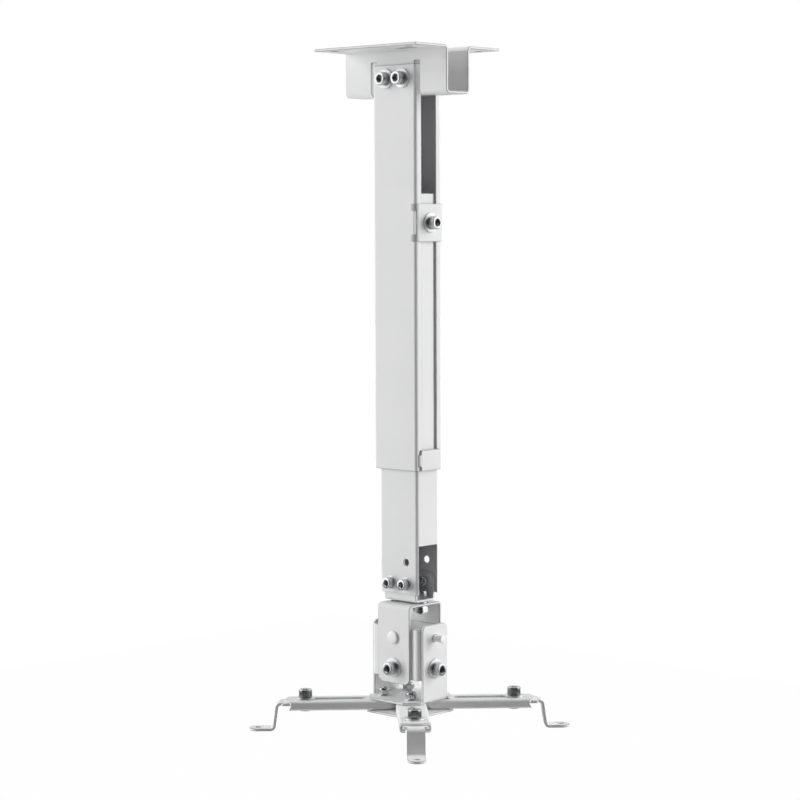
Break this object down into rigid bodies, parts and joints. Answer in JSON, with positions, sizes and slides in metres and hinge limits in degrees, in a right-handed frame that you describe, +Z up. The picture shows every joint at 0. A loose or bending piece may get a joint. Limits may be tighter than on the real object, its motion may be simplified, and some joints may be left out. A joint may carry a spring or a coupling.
{
  "type": "projector ceiling mount",
  "caption": "Telescopic ceiling mount for a projector: folded ceiling bracket, lipped column with sliding inner tube, tilting double yoke and swinging arms with Z-shaped feet.",
  "frame": {"origin": "centre of the ceiling plate's upper face, at the middle of its four screw holes", "axes": "+Z up into the ceiling, X along the folded ceiling bracket with the column's open slot facing +X, Y across it"},
  "size_m": [0.1767, 0.1766, 0.5124],
  "materials": {
    "white_paint": "satin white powder coat",
    "zinc": "bright zinc plate"
  },
  "bodies": {
    "column": {"ceiling_bracket": "white_paint", "outer_tube": "white_paint", "column_screws": "zinc", "column_washers": "zinc", "column_nuts": "zinc"},
    "slider": {"inner_tube": "white_paint", "clamp_plate": "white_paint", "clamp_screw": "zinc", "clamp_washer": "zinc", "clamp_nut": "zinc", "swivel_bracket": "white_paint", "bracket_screws": "zinc", "bracket_washers": "zinc", "bracket_nuts": "zinc", "pan_bolts": "zinc", "pan_spacers": "zinc", "pan_nuts": "zinc"},
    "yoke": {"upper_yoke": "white_paint", "roll_rivets": "white_paint", "roll_screws": "zinc", "roll_washers": "zinc", "roll_nuts": "zinc"},
    "block": {"tilt_block": "white_paint", "pitch_pins": "white_paint"},
    "head": {"lower_yoke": "white_paint", "hub_plate": "white_paint", "hub_bolts": "zinc", "hub_washers": "zinc", "hub_nuts": "zinc", "pitch_screws": "zinc", "pitch_washers": "zinc", "pitch_nuts": "zinc"},
    "arm_right": {"arm_right": "white_paint"},
    "foot_right": {"foot_right": "white_paint", "foot_screw_right": "zinc", "foot_washer_right": "zinc", "foot_nut_right": "zinc"},
    "arm_back": {"arm_back": "white_paint"},
    "foot_back": {"foot_back": "white_paint", "foot_screw_back": "zinc", "foot_washer_back": "zinc", "foot_nut_back": "zinc"},
    "arm_left": {"arm_left": "white_paint"},
    "foot_left": {"foot_left": "white_paint", "foot_screw_left": "zinc", "foot_washer_left": "zinc", "foot_nut_left": "zinc"},
    "arm_front": {"arm_front": "white_paint"},
    "foot_front": {"foot_front": "white_paint", "foot_screw_front": "zinc", "foot_washer_front": "zinc", "foot_nut_front": "zinc"}
  },
  "joints": [
    {"name": "extension", "type": "slide", "parent": "column", "child": "slider", "axis": [0, 0, -1], "range_m": [-0.07, 0.15]},
    {"name": "swivel", "type": "hinge", "parent": "slider", "child": "yoke", "pos_m": [0.00095, 0, -0.4153], "axis": [0, 0, 1], "range_deg": [-25, 25]},
    {"name": "roll", "type": "hinge", "parent": "yoke", "child": "block", "pos_m": [0.00095, 0, -0.4405], "axis": [0, 1, 0], "range_deg": [-15, 15]},
    {"name": "pitch", "type": "hinge", "parent": "block", "child": "head", "pos_m": [0.00095, 0, -0.4405], "axis": [1, 0, 0], "range_deg": [-15, 15]},
    {"name": "swing_right", "type": "hinge", "parent": "head", "child": "arm_right", "pos_m": [0.01495, 0.014, -0.4891], "axis": [0, 0, 1], "range_deg": [-40, 40]},
    {"name": "reach_right", "type": "slide", "parent": "arm_right", "child": "foot_right", "axis": [0.7071, 0.7071, 0], "range_m": [-0.037, 0.002]},
    {"name": "swing_back", "type": "hinge", "parent": "head", "child": "arm_back", "pos_m": [-0.01305, 0.014, -0.4891], "axis": [0, 0, 1], "range_deg": [-40, 40]},
    {"name": "reach_back", "type": "slide", "parent": "arm_back", "child": "foot_back", "axis": [-0.7071, 0.7071, 0], "range_m": [-0.037, 0.002]},
    {"name": "swing_left", "type": "hinge", "parent": "head", "child": "arm_left", "pos_m": [-0.01305, -0.014, -0.4891], "axis": [0, 0, 1], "range_deg": [-40, 40]},
    {"name": "reach_left", "type": "slide", "parent": "arm_left", "child": "foot_left", "axis": [-0.7071, -0.7071, 0], "range_m": [-0.037, 0.002]},
    {"name": "swing_front", "type": "hinge", "parent": "head", "child": "arm_front", "pos_m": [0.01495, -0.014, -0.4891], "axis": [0, 0, 1], "range_deg": [-40, 40]},
    {"name": "reach_front", "type": "slide", "parent": "arm_front", "child": "foot_front", "axis": [0.7071, -0.7071, 0], "range_m": [-0.037, 0.002]}
  ]
}
